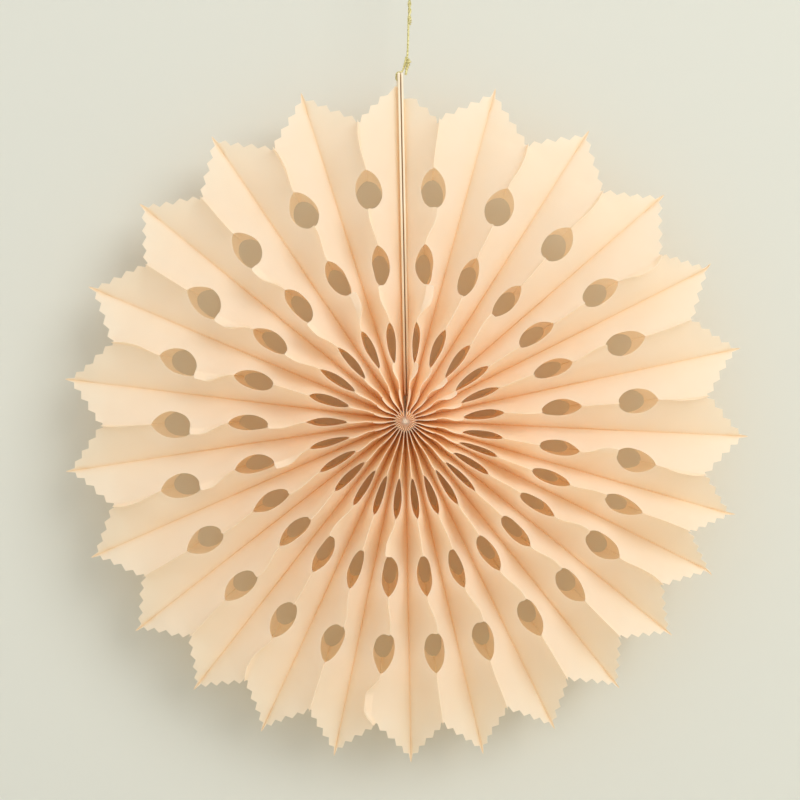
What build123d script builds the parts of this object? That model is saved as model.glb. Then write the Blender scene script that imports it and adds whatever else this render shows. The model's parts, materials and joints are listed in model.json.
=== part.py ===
"""Hanging paper fan rosette: a stack of die-cut paper leaves, glued in turn along both long edges
and along the mid line, opened through a full circle and hung by a gold thread.

Frame: millimetres, +Z up.  The disc stands in the XZ plane and its front faces -Y.  The origin is
the point in the hanging loop where a hook carries the whole fan.

Angles are degrees clockwise from the top, as the front is seen.  A valley is the radial line where
two leaves are glued along their mid lines, in the plane of the disc; it ends in a petal's tip.  A
ridge is the radial half plane where two leaves are glued along their long edges, on the front and
on the back.  Each leaf fills the narrow wedge between one valley and the next ridge.
"""
import math
import os

from build123d import *

# --- leaf, as die-cut and still flat -----------------------------------------------------------
PETALS = 25  # one valley, and so one pointed petal, for each
PAPER = 0.15  # thickness of the paper
TIP_RADIUS = 225.0  # disc centre to a petal's tip
GLUED_RADIUS = 193.0  # disc centre to the outer end of the glued edges
HUB_RADIUS = 3.5  # the stacked inner edges stand this far from the axis
PANEL_WIDTH = 30.0  # from the mid line's glue to an edge's glue
VALLEY_GLUE = 1.0  # half the width of the glue line along the mid line
FIN_WIDTH = 5.0  # glued margin along each long edge, which stands up as a fin

HOLE_RADIUS = 12.7  # round punch, centred on the edge's glue line
HOLE_SPACING = 49.3  # along the leaf, and from the centre to the first hole
HOLE_ROWS = 3
NOTCH_RADIUS = 20.5  # small relief notch in the fin, inside the first hole
NOTCH_WIDTH = 1.6
NOTCH_DEPTH = 3.5

TEETH = 4  # pinked steps on each side of the tip
TOOTH_RISE = 6.4  # along the leaf
TOOTH_RUN = 6.75  # across the leaf
TOOTH_SLANT = 1.4  # a tooth's corner lies this far inside a square step's, both ways
SPIKE_HALF_WIDTH = 2.0  # narrow point in the middle of the pinked end

# --- how the opened leaves space themselves ----------------------------------------------------
SEAM_ANGLE = -1.1  # the valley that holds the two cards
SAG = 0.16  # the hanging fan opens this share wider at the top and closes at the bottom
SAG_ANGLE = -20.0  # direction in which it opens widest
UNEVEN_PLEATS = {1: 1.07, 2: 1.06, 3: 0.95, 5: 1.06, 7: 0.79, 9: 1.02, 10: 1.06, 11: 1.05, 13: 1.04}
RIDGE_SHARE = {0: 0.46, 3: 0.55, 6: 0.55, PETALS - 1: 0.53}  # where a ridge divides its pleat, else half

# --- card spines in the seam -------------------------------------------------------------------
CARD = 1.2  # thickness of one card
CARD_WIDTH = 12.0
CARD_GAP = 0.4  # between the two cards
CARD_START = 16.0  # disc centre to the inner end
CARD_END = 227.0
CARD_CORNER = 2.5
CARD_HOLE_RADIUS = 1.3
CARD_HOLE_INSET = 3.8  # from the outer end to the punched hole
SEAM_TRIM = 218.0  # the first and last leaf lose their spike beside the cards

# --- gold thread -------------------------------------------------------------------------------
STRAND = 1.0  # diameter of the tie and of each half of the loop
THREAD = 1.3  # diameter of the twisted thread
KNOT_LENGTH = 5.0
KNOT_RADIUS = 1.9
KNOT_FLAT_RADIUS = 1.4
WRAP_LENGTH = 4.6
WRAP_RADIUS = 1.45
DISC_TO_HOOK = 336.0  # disc centre up to the point that carries the fan
LOOP_HEIGHT = 26.0
LOOP_WIDTH = 13.0

CENTRE = Vector(-3.3, 0.0, -DISC_TO_HOOK)


def outward(angle):
    """Unit vector from the disc's centre towards an angle."""
    turn = math.radians(angle)
    return Vector(math.sin(turn), 0, math.cos(turn))


def clockwise(angle):
    """Unit vector across that direction, the way the angle grows."""
    turn = math.radians(angle)
    return Vector(math.cos(turn), 0, -math.sin(turn))


def pleat_layout():
    """Angles of the valleys and of the ridges: ridge k lies between valleys k and k + 1."""
    even = 360.0 / PETALS
    opening = []
    for pleat in range(PETALS):
        sag = 1 + SAG * math.cos(math.radians((pleat + 0.5) * even - SAG_ANGLE))
        opening.append(sag * UNEVEN_PLEATS.get(pleat, 1.0))
    scale = 360.0 / sum(opening)
    valleys = [SEAM_ANGLE]
    ridges = []
    for pleat, share in enumerate(opening):
        ridges.append(valleys[-1] + share * scale * RIDGE_SHARE.get(pleat, 0.5))
        valleys.append(valleys[-1] + share * scale)
    return valleys, ridges


def mitred_strip(centre_line, thickness):
    """Closed outline of a strip of even thickness along an open line of (across, depth) points."""
    normals = []
    for (x0, y0), (x1, y1) in zip(centre_line, centre_line[1:]):
        length = math.hypot(x1 - x0, y1 - y0)
        normals.append(((y1 - y0) / length, (x0 - x1) / length))
    before = [normals[0]] + normals
    after = normals + [normals[-1]]
    left = []
    right = []
    for (x, y), (ax, ay), (bx, by) in zip(centre_line, before, after):
        reach = thickness / 2 / (1 + ax * bx + ay * by)
        left.append((x + (ax + bx) * reach, y + (ay + by) * reach))
        right.append((x - (ax + bx) * reach, y - (ay + by) * reach))
    return left + right[::-1]


class Wedge:
    """The space of one leaf: from its valley's plane to its ridge's plane.

    Local places are (along, across, depth): along the valley, across towards the ridge, and depth
    along +Y from the plane of the disc.
    """

    def __init__(self, valley, ridge, next_valley, card_side, card_in_pleat):
        self.along = outward(valley)
        self.across = clockwise(valley) * (1 if ridge > valley else -1)
        self.slope = math.tan(math.radians(abs(ridge - valley)))
        self.half_pleat = math.tan(math.radians(abs(next_valley - valley) / 2))
        self.card_side = card_side  # how far a card holds the mid line off the valley's plane
        self.card_in_pleat = card_in_pleat  # and how far it holds either mid line of the pleat

    def point(self, along, across, depth):
        """A local place in the part's frame."""
        return CENTRE + self.along * along + self.across * across + Vector(0, depth, 0)

    def beside_card(self, along):
        """How much of the card's thickness holds the leaf off: none at the hub, all from its inner end."""
        leaves_hub = (along - HUB_RADIUS) / (CARD_START - HUB_RADIUS)
        return min(1.0, max(0.0, leaves_hub))

    def mid_line(self, along):
        """Distance of the leaf's mid line from the valley's plane."""
        return self.card_side * self.beside_card(along)

    def fold(self, along):
        """Across and depth of the leaf where its panel meets the ridge's fin.

        The depth comes from half the pleat, so both of its leaves meet at one depth even where the
        ridge doesn't halve it.
        """
        out = min(along, GLUED_RADIUS)
        run = out * self.half_pleat - self.card_in_pleat * self.beside_card(along) / 2 - PAPER
        return out * self.slope, VALLEY_GLUE + math.sqrt(PANEL_WIDTH**2 - run**2)

    def section(self, along):
        """Wire of the folded leaf, cut across at one distance from the centre."""
        reach, depth = self.fold(along)
        at_ridge = reach - PAPER / 2
        at_valley = self.mid_line(along) + PAPER / 2
        back = [(at_valley, VALLEY_GLUE), (at_ridge, depth), (at_ridge, depth + FIN_WIDTH)]
        front = [(across, -y) for across, y in reversed(back)]
        outline = mitred_strip(front + back, PAPER)
        return Wire.make_polygon([self.point(along, across, y) for across, y in outline])

    def panel_plane(self, along, side):
        """Plane of the flat panel at one distance out: x outwards, y from mid line to edge."""
        reach, depth = self.fold(along)
        start = self.point(along, self.mid_line(along), side * VALLEY_GLUE)
        edge = self.point(along, reach, side * depth)
        lift = (edge - start).normalized()
        return Plane(origin=start, x_dir=self.along, z_dir=self.along.cross(lift))


def folded_sheet(wedge):
    """The leaf before its holes and teeth: hub end, curved length and straight outer end."""
    reaches = [CARD_START + (GLUED_RADIUS - CARD_START) * step / 6 for step in range(7)]
    sections = [wedge.section(along) for along in [HUB_RADIUS] + reaches]
    hub_end = Solid.make_loft(sections[:2], ruled=True)
    length = Solid.make_loft(sections[1:])
    outer_end = Solid.extrude(Face(sections[-1]), wedge.along * (TIP_RADIUS - GLUED_RADIUS))
    return hub_end + length + outer_end


def pinked_end(tip):
    """Outline, in the flat leaf, of what the pinking cut takes off one side of the tip."""
    points = [(0.0, 0.0), (-TOOTH_RISE, SPIKE_HALF_WIDTH)]
    for tooth in range(1, TEETH + 1):
        run = SPIKE_HALF_WIDTH + TOOTH_RUN * tooth
        points.append((-TOOTH_RISE * tooth - TOOTH_SLANT, run - TOOTH_SLANT))
        points.append((-TOOTH_RISE * (tooth + 1), run))
    waste = PANEL_WIDTH + FIN_WIDTH + TOOTH_RUN
    points += [(-TOOTH_RISE * (TEETH + 1), waste), (TOOTH_RUN, waste), (TOOTH_RUN, 0.0)]
    return [(tip + along, across) for along, across in points]


def cutters(wedge, trim):
    """Everything that is die-cut from one leaf, front and back."""
    cuts = []
    for side in (-1, 1):
        for row in range(1, HOLE_ROWS + 1):
            plane = wedge.panel_plane(row * HOLE_SPACING, side)
            punch = Cylinder(HOLE_RADIUS, 2 * HOLE_RADIUS)
            cuts.append(plane * Pos(0, PANEL_WIDTH, 0) * punch)
        plane = wedge.panel_plane(GLUED_RADIUS, side)
        outline = [(along - GLUED_RADIUS, across) for along, across in pinked_end(TIP_RADIUS)]
        waste = make_face(Polyline(*outline, close=True))
        cuts.append(extrude(plane * waste, amount=PANEL_WIDTH / 2, both=True))
        reach, depth = wedge.fold(NOTCH_RADIUS)
        edge = side * (depth + FIN_WIDTH)
        half = NOTCH_WIDTH / 2
        notch = [
            wedge.point(NOTCH_RADIUS - half, 0, edge + side),
            wedge.point(NOTCH_RADIUS + half, 0, edge + side),
            wedge.point(NOTCH_RADIUS, 0, edge - side * NOTCH_DEPTH),
        ]
        profile = Face(Wire.make_polygon(notch))
        cuts.append(Solid.extrude(profile, wedge.across * 2 * reach))
    if trim:
        far = Plane(origin=wedge.point(SEAM_TRIM, 0, 0), x_dir=wedge.across, z_dir=wedge.along)
        cuts.append(extrude(far * Rectangle(4 * PANEL_WIDTH, 4 * PANEL_WIDTH), amount=PANEL_WIDTH))
    return cuts


def pleat_leaves(pleat, valley, ridge, next_valley):
    """The two die-cut leaves of one pleat, each folded into its wedge."""
    seam_side = CARD + CARD_GAP / 2
    card_sides = [seam_side if pleat == 0 else 0.0, seam_side if pleat == PETALS - 1 else 0.0]
    wedges = [
        Wedge(valley, ridge, next_valley, card_sides[0], sum(card_sides)),
        Wedge(next_valley, ridge, valley, card_sides[1], sum(card_sides)),
    ]
    return [folded_sheet(wedge) - cutters(wedge, wedge.card_side > 0) for wedge in wedges]


def card_spine(side):
    """Stiff card strip in the seam, glued to the first or last leaf; side is +1 clockwise."""
    length = CARD_END - CARD_START
    hole = (length / 2 - CARD_HOLE_INSET, 0)
    strip = fillet(Rectangle(length, CARD_WIDTH).vertices(), CARD_CORNER)
    strip -= Pos(*hole) * Circle(CARD_HOLE_RADIUS)
    along = outward(SEAM_ANGLE)
    across = clockwise(SEAM_ANGLE) * side
    middle = CENTRE + along * (CARD_START + length / 2) + across * (CARD_GAP / 2)
    plane = Plane(origin=middle, x_dir=along, z_dir=across)
    return extrude(plane * strip, amount=CARD)


def tube(points, radii, diameter):
    """Round thread along straight runs joined by tangent arcs."""
    path = FilletPolyline(*points, radius=radii) if radii else Line(*points)
    section = Plane(origin=path @ 0, z_dir=path % 0) * Circle(diameter / 2)
    return sweep(section, path=path)


def bend_radii(points):
    """Largest tidy arc at each corner: 0.45 of the shorter run over the tangent of half the turn."""
    radii = []
    for before, corner, after in zip(points, points[1:], points[2:]):
        first = corner - before
        second = after - corner
        turn = math.radians(first.get_angle(second))
        radii.append(0.45 * min(first.length, second.length) / math.tan(turn / 2))
    return radii


def thread_piece(name, points, diameter):
    """A thread tube through hand-placed points, with its bend radii printed."""
    radii = bend_radii(points)
    print(name, "bend radii", [round(radius, 1) for radius in radii])
    return tube(points, radii, diameter)


def knot(bottom):
    """Barrel-shaped knot that stands on a point, with flat ends where threads meet it."""
    waist = KNOT_LENGTH / 2
    outline = Polyline((KNOT_FLAT_RADIUS, 0), (0, 0), (0, KNOT_LENGTH), (KNOT_FLAT_RADIUS, KNOT_LENGTH))
    belly = ThreePointArc((KNOT_FLAT_RADIUS, KNOT_LENGTH), (KNOT_RADIUS, waist), (KNOT_FLAT_RADIUS, 0))
    profile = Plane.XZ * make_face(outline + belly)
    return Pos(*bottom) * revolve(profile, Axis.Z)


def write(name, shape):
    """Writes one piece as a STEP file named after its node."""
    solids = shape.solids()
    export_step(solids[0] if len(solids) == 1 else Compound(solids), f"parts/{name}.step")


os.makedirs("parts", exist_ok=True)

# --- leaves: two to each ridge, numbered clockwise from the seam --------------------------------
valleys, ridges = pleat_layout()
print("valleys", [round(angle, 1) for angle in valleys])
print("ridges", [round(angle, 1) for angle in ridges])
for pleat, ridge in enumerate(ridges):
    pair = pleat_leaves(pleat, valleys[pleat], ridge, valleys[pleat + 1])
    write(f"leaf_{2 * pleat + 1:02d}", pair[0])
    write(f"leaf_{2 * pleat + 2:02d}", pair[1])

# --- cards --------------------------------------------------------------------------------------
write("card_spine_right", card_spine(1))
write("card_spine_left", card_spine(-1))

# --- gold thread, from the cards up to the hook -------------------------------------------------
card_hole = CENTRE + outward(SEAM_ANGLE) * (CARD_END - CARD_HOLE_INSET)
card_top = CENTRE + outward(SEAM_ANGLE) * CARD_END
clear = CARD + CARD_GAP / 2 + STRAND + 0.2  # thread's middle beside a card
knot_base = Vector(card_top.X + 5.9, 0, card_top.Z + 6.2)
knot_top = knot_base + Vector(0, 0, KNOT_LENGTH)
apart = 0.55 * STRAND  # half the distance between two strands side by side
tie_route = [
    knot_base + Vector(-apart, 0, 0),
    knot_base + Vector(-apart, 0, -2.2),
    Vector(card_hole.X - clear, 0, card_top.Z + 2.4),
    Vector(card_hole.X - clear, 0, card_hole.Z),
    Vector(card_hole.X + clear, 0, card_hole.Z),
    Vector(card_hole.X + clear + 2.4, 0, card_top.Z + 1.0),
    knot_base + Vector(apart, 0, -2.6),
    knot_base + Vector(apart, 0, 0),
]
write("thread_tie", thread_piece("thread_tie", tie_route, STRAND))
write("lower_knot", knot(knot_base))

loop_foot = Vector(0, 0, -LOOP_HEIGHT)
top_knot_base = loop_foot - Vector(0, 0, KNOT_LENGTH)
wrap_base = Vector(knot_top.X + 0.7, 0, knot_top.Z + 21.5)
side_by_side = 0.55 * (THREAD + STRAND) / 2  # half the distance between thread and returning strand
thread_route = [
    knot_top,
    knot_top + Vector(0.55, 0, 12.0),
    wrap_base + Vector(0.05, 0, 3.0),
    wrap_base + Vector(0, 0, 16.0),
    top_knot_base + Vector(-side_by_side, 0, -12.0),
    top_knot_base + Vector(-side_by_side, 0, 0),
]
hanging_thread = thread_piece("hanging_thread", thread_route, THREAD)
write("hanging_thread", hanging_thread)
wrap = Pos(*wrap_base) * Pos(side_by_side, 0, WRAP_LENGTH / 2) * Cylinder(WRAP_RADIUS, WRAP_LENGTH)
write("thread_wrap", wrap - hanging_thread)
return_route = [
    wrap_base + Vector(2 * side_by_side + 0.05, 0, WRAP_LENGTH),
    wrap_base + Vector(2 * side_by_side, 0, 16.0),
    top_knot_base + Vector(side_by_side, 0, -12.0),
    top_knot_base + Vector(side_by_side, 0, 0),
]
write("return_strand", thread_piece("return_strand", return_route, STRAND))
write("top_knot", knot(top_knot_base))

hook_line = STRAND / 2  # the strand's middle where it passes over the hook
loop_route = [
    loop_foot + Vector(-apart, 0, 0),
    loop_foot + Vector(-apart, 0, 3.5),
    Vector(-LOOP_WIDTH / 2, 0, -0.5 * LOOP_HEIGHT),
    Vector(-0.42 * LOOP_WIDTH, 0, -0.16 * LOOP_HEIGHT),
    Vector(-0.2 * LOOP_WIDTH, 0, hook_line),
    Vector(0.2 * LOOP_WIDTH, 0, hook_line),
    Vector(0.44 * LOOP_WIDTH, 0, -0.18 * LOOP_HEIGHT),
    Vector(LOOP_WIDTH / 2, 0, -0.52 * LOOP_HEIGHT),
    loop_foot + Vector(apart, 0, 4.0),
    loop_foot + Vector(apart, 0, 0),
]
write("hanging_loop", thread_piece("hanging_loop", loop_route, STRAND))
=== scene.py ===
"""Paper fan rosette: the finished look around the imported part.

The fan is a stack of die-cut tissue leaves, glued in turn along both long edges and along the mid
line, opened through a full circle and hung by a twisted gold thread.  Its disc stands in the XZ
plane, its front faces -Y and the origin is the point that the hook carries.

Blender works in metres.  Sizes of the object are given in millimetres and multiplied by MM.
Angles are degrees clockwise from the top, as the front is seen.
"""

import json
import logging
import math
import random
from dataclasses import dataclass, field
from enum import Enum
from typing import Any

import bmesh
import bpy
from mathutils import Matrix, Vector

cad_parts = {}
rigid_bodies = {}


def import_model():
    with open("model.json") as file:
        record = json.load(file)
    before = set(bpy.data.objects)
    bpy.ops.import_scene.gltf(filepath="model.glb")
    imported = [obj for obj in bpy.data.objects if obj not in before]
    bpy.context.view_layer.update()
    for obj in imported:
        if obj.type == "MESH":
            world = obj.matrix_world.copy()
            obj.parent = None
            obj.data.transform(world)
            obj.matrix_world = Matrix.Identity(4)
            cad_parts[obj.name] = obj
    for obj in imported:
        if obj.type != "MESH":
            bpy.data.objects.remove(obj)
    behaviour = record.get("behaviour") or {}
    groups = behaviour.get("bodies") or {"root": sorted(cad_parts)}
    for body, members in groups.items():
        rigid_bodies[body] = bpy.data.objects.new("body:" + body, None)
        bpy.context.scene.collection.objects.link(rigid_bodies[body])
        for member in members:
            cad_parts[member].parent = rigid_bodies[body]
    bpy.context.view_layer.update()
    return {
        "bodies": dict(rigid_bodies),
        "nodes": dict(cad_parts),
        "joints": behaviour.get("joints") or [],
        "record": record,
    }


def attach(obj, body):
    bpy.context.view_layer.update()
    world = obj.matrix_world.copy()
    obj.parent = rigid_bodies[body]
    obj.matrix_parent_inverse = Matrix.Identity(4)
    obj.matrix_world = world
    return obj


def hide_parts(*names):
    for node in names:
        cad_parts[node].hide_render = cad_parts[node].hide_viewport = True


log = logging.getLogger("rosette")

MM = 0.001
BODY = "root"
CENTRE = (-3.3, 0.0, -336.0)  # the fan's centre from the hook, in millimetres
SEAM = -1.1  # where the cards stand, in degrees
TURN_POINTS = 12  # points for each turn of what is wound
Point = tuple[float, float]


# --- node building -----------------------------------------------------------------------------


def add_node(
    tree: bpy.types.NodeTree, kind: str, inputs: dict[Any, Any] | None = None, **settings: Any
) -> bpy.types.Node:
    """Adds one node to a tree, with its settings made and its inputs set or linked.

    Args:
        tree: The tree that gets the node.
        kind: The node's type name.
        inputs: Input name or number, and the socket, Field or plain value that it takes.
        settings: Properties of the node itself.

    Returns:
        The new node.
    """
    node = tree.nodes.new(kind)
    for name, value in settings.items():
        setattr(node, name, value)
    for key, value in (inputs or {}).items():
        source = value.socket if isinstance(value, Field) else value
        if isinstance(source, bpy.types.NodeSocket):
            tree.links.new(source, node.inputs[key])
        else:
            node.inputs[key].default_value = source
    return node


class Field:
    """A number that nodes work out for each point; Python's operators on it add Math nodes."""

    def __init__(self, tree: bpy.types.NodeTree, socket: bpy.types.NodeSocket) -> None:
        """Wraps the socket that gives the number."""
        self.tree = tree
        self.socket = socket

    def math(self, operation: str, *others: Any) -> "Field":
        """Applies one operation of the Math node to this number and others.

        Args:
            operation: The Math node's operation.
            others: Fields or plain numbers for its other inputs.

        Returns:
            The result, as a new field.
        """
        values = dict(enumerate((self, *others)))
        node = add_node(self.tree, "ShaderNodeMath", values, operation=operation)
        return Field(self.tree, node.outputs[0])

    def ramp(self, start: Any, end: Any, low: float = 0.0, high: float = 1.0) -> "Field":
        """Goes smoothly from low to high as this number goes from start to end."""
        values = {"Value": self, "From Min": start, "From Max": end, "To Min": low, "To Max": high}
        node = add_node(self.tree, "ShaderNodeMapRange", values, interpolation_type="SMOOTHSTEP")
        return Field(self.tree, node.outputs[0])

    def __add__(self, other: Any) -> "Field":
        """Sum."""
        return self.math("ADD", other)

    def __sub__(self, other: Any) -> "Field":
        """Difference."""
        return self.math("SUBTRACT", other)

    def __mul__(self, other: Any) -> "Field":
        """Product."""
        return self.math("MULTIPLY", other)

    def __truediv__(self, other: Any) -> "Field":
        """Quotient."""
        return self.math("DIVIDE", other)


def modifier_tree(name: str, inputs: dict[str, type]) -> tuple[bpy.types.NodeTree, dict[str, Any]]:
    """Makes an empty Geometry Nodes tree with named inputs.

    Args:
        name: The tree's name.
        inputs: Each input's name and its Python type: float, int or bpy.types.Material.

    Returns:
        The tree, and its input sockets by name, numbers as fields.
    """
    kinds = {float: "NodeSocketFloat", int: "NodeSocketInt", bpy.types.Material: "NodeSocketMaterial"}
    tree = bpy.data.node_groups.new(name, "GeometryNodeTree")
    tree.is_modifier = True
    tree.interface.new_socket("Geometry", in_out="INPUT", socket_type="NodeSocketGeometry")
    tree.interface.new_socket("Geometry", in_out="OUTPUT", socket_type="NodeSocketGeometry")
    for title, kind in inputs.items():
        tree.interface.new_socket(title, in_out="INPUT", socket_type=kinds[kind])
    group = add_node(tree, "NodeGroupInput")
    sockets = {"Geometry": group.outputs["Geometry"]}
    for title, kind in inputs.items():
        socket = group.outputs[title]
        sockets[title] = socket if kind is bpy.types.Material else Field(tree, socket)
    return tree, sockets


def end_tree(tree: bpy.types.NodeTree, geometry: bpy.types.NodeSocket, material: Any) -> None:
    """Realizes what the tree made, gives it its material and leads it to the output."""
    real = add_node(tree, "GeometryNodeRealizeInstances", {"Geometry": geometry})
    dressed = add_node(
        tree, "GeometryNodeSetMaterial", {"Geometry": real.outputs[0], "Material": material}
    )
    add_node(tree, "NodeGroupOutput", {"Geometry": dressed.outputs[0]})


def run_tree(
    source: bpy.types.Object, tree: bpy.types.NodeTree, values: dict[str, Any], name: str,
    wall: float = 0.0,
) -> bpy.types.Object:
    """Runs a tree on a mesh object and keeps the result as a plain mesh.

    Args:
        source: The object that the tree starts from; its mesh stays as it is.
        tree: The Geometry Nodes tree.
        values: Value of each named input.
        name: Name of the new piece.
        wall: Thickness that the result is given, in metres, or 0 for none.

    Returns:
        The new piece, at the origin, with no modifiers.
    """
    worker = bpy.data.objects.new(name + "_worker", source.data)
    bpy.context.scene.collection.objects.link(worker)
    modifier = worker.modifiers.new("Rule", "NODES")
    modifier.node_group = tree
    for item in tree.interface.items_tree:
        if item.item_type == "SOCKET" and item.in_out == "INPUT" and item.name in values:
            modifier[item.identifier] = values[item.name]
    if wall:
        shell = worker.modifiers.new("Thickness", "SOLIDIFY")
        shell.thickness = wall
        shell.offset = 0.0
    graph = bpy.context.evaluated_depsgraph_get()
    mesh = bpy.data.meshes.new_from_object(worker.evaluated_get(graph))
    mesh.name = name
    bpy.data.objects.remove(worker)
    piece = bpy.data.objects.new(name, mesh)
    bpy.context.scene.collection.objects.link(piece)
    return piece


# --- colours and finishes ----------------------------------------------------------------------


def linear(code: str) -> tuple[float, float, float, float]:
    """Turns an sRGB hex colour such as "#FFE8CC" into linear RGBA."""
    channels = [int(code[i : i + 2], 16) / 255 for i in (1, 3, 5)]
    curve = [c / 12.92 if c <= 0.04045 else ((c + 0.055) / 1.055) ** 2.4 for c in channels]
    return (*curve, 1.0)


def new_material(name: str) -> tuple[bpy.types.Material, bpy.types.NodeTree]:
    """Makes a material with an empty node tree, and returns both."""
    material = bpy.data.materials.new(name)
    material.use_nodes = True
    material.node_tree.nodes.clear()
    return material, material.node_tree


@dataclass(frozen=True)
class TissuePaper:
    """Dyed tissue paper, calendered on one side and dull on the other.

    Thin enough that light comes through it, so two leaves near each other glow deeper than one.
    Short fibres make it slightly cloudy, and the glue lines along the valleys are painted darker and more
    orange: partly the glue that soaks the paper, partly painted crease shade.
    """

    sheet: str = "#FFFAED"
    cloud: str = "#FFF5E4"
    # glue: tint of the mid line in each valley, glue soak plus painted crease shade
    glue: str = "#FDE7C6"
    through: str = "#FFF9EF"
    roughness: float = 0.78
    see_through: float = 0.6
    cloud_size: float = 14.0
    fibre_size: float = 0.9

    def build(self) -> bpy.types.Material:
        """Builds the material: clouded colour, glue lines tinted with glue soak and painted crease shade,
        fibre bump, light through it.
        """
        material, tree = new_material("Tissue_Paper")
        place = add_node(tree, "ShaderNodeTexCoord")
        clouds = add_node(
            tree,
            "ShaderNodeTexNoise",
            {"Vector": place.outputs["Object"], "Scale": 1 / (self.cloud_size * MM), "Detail": 4.0,
             "Roughness": 0.6},
        )
        mottle = add_node(
            tree,
            "ShaderNodeMix",
            {"Factor": clouds.outputs["Fac"], 6: linear(self.sheet), 7: linear(self.cloud)},
            data_type="RGBA",
        )
        # Mask of the valley's glue line, which carries glue soak and painted crease shade
        glue_and_crease_shade = add_node(tree, "ShaderNodeAttribute", attribute_name="glue")
        tint = add_node(
            tree,
            "ShaderNodeMix",
            {"Factor": glue_and_crease_shade.outputs["Fac"], 6: mottle.outputs[2], 7: linear(self.glue)},
            data_type="RGBA",
        )
        fibres = add_node(
            tree,
            "ShaderNodeTexNoise",
            {"Vector": place.outputs["Object"], "Scale": 1 / (self.fibre_size * MM), "Detail": 3.0},
        )
        relief = add_node(
            tree,
            "ShaderNodeBump",
            {"Height": fibres.outputs["Fac"], "Strength": 0.25, "Distance": 0.05 * MM},
        )
        front = add_node(
            tree,
            "ShaderNodeBsdfPrincipled",
            {"Base Color": tint.outputs[2], "Normal": relief.outputs[0],
             "Roughness": self.roughness, "Specular IOR Level": 0.2},
        )
        glow = add_node(tree, "ShaderNodeBsdfTranslucent", {"Color": linear(self.through)})
        sheet = add_node(
            tree, "ShaderNodeMixShader", {0: self.see_through, 1: front.outputs[0], 2: glow.outputs[0]}
        )
        add_node(tree, "ShaderNodeOutputMaterial", {"Surface": sheet.outputs[0]})
        return material


@dataclass(frozen=True)
class CoatedCard:
    """Stiff greyboard covered with cream paper: an even, dull face with a faint fibre grain."""

    cover: str = "#F8ECD4"
    shade: str = "#ECDAB8"
    roughness: float = 0.7
    grain: float = 1.4

    def build(self) -> bpy.types.Material:
        """Builds the material: cream cover paper with stretched fibres along the strip."""
        material, tree = new_material("Coated_Card")
        place = add_node(tree, "ShaderNodeTexCoord")
        stretch = add_node(
            tree, "ShaderNodeMapping", {"Vector": place.outputs["Object"], "Scale": (1.0, 1.0, 0.12)}
        )
        grain = add_node(
            tree,
            "ShaderNodeTexNoise",
            {"Vector": stretch.outputs[0], "Scale": 1 / (self.grain * MM), "Detail": 4.0},
        )
        tint = add_node(
            tree,
            "ShaderNodeMix",
            {"Factor": grain.outputs["Fac"], 6: linear(self.cover), 7: linear(self.shade)},
            data_type="RGBA",
        )
        relief = add_node(
            tree,
            "ShaderNodeBump",
            {"Height": grain.outputs["Fac"], "Strength": 0.3, "Distance": 0.08 * MM},
        )
        face = add_node(
            tree,
            "ShaderNodeBsdfPrincipled",
            {"Base Color": tint.outputs[2], "Normal": relief.outputs[0],
             "Roughness": self.roughness, "Specular IOR Level": 0.3},
        )
        add_node(tree, "ShaderNodeOutputMaterial", {"Surface": face.outputs[0]})
        return material


@dataclass(frozen=True)
class GoldThread:
    """Metallised yarn: a thin gold foil strip wound round a core; its glints are painted as short pale
    flecks over a painted shade tone.
    """

    # foil: painted glint tone of the foil; shade: painted shade tone of the same foil
    foil: str = "#FAF2BC"
    shade: str = "#B5A957"
    roughness: float = 0.38
    glint_size: float = 0.7

    def build(self) -> bpy.types.Material:
        """Builds the material: foil in a painted glint tone and a painted shade tone, mixed in short
        flecks by noise.
        """
        material, tree = new_material("Metallised_Yarn")
        place = add_node(tree, "ShaderNodeTexCoord")
        # Noise that places the painted glints and painted shade on the foil
        glint_noise = add_node(
            tree,
            "ShaderNodeTexNoise",
            {"Vector": place.outputs["Object"], "Scale": 1 / (self.glint_size * MM), "Detail": 2.0},
        )
        glint_mask = add_node(
            tree,
            "ShaderNodeMapRange",
            {"Value": glint_noise.outputs["Fac"], "From Min": 0.35, "From Max": 0.65},
        )
        tint = add_node(
            tree,
            "ShaderNodeMix",
            {"Factor": glint_mask.outputs[0], 6: linear(self.shade), 7: linear(self.foil)},
            data_type="RGBA",
        )
        relief = add_node(
            tree,
            "ShaderNodeBump",
            {"Height": glint_noise.outputs["Fac"], "Strength": 0.5, "Distance": 0.08 * MM},
        )
        face = add_node(
            tree,
            "ShaderNodeBsdfPrincipled",
            {"Base Color": tint.outputs[2], "Normal": relief.outputs[0], "Metallic": 0.6,
             "Roughness": self.roughness},
        )
        add_node(tree, "ShaderNodeOutputMaterial", {"Surface": face.outputs[0]})
        return material


# --- paper leaves ------------------------------------------------------------------------------


class Held(Enum):
    """How a leaf's mid line is held, which also decides how its tip is cut."""

    GLUED = "glued to the next leaf"
    RIGHT_CARD = "glued to the right card"
    LEFT_CARD = "glued to the left card"


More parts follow.
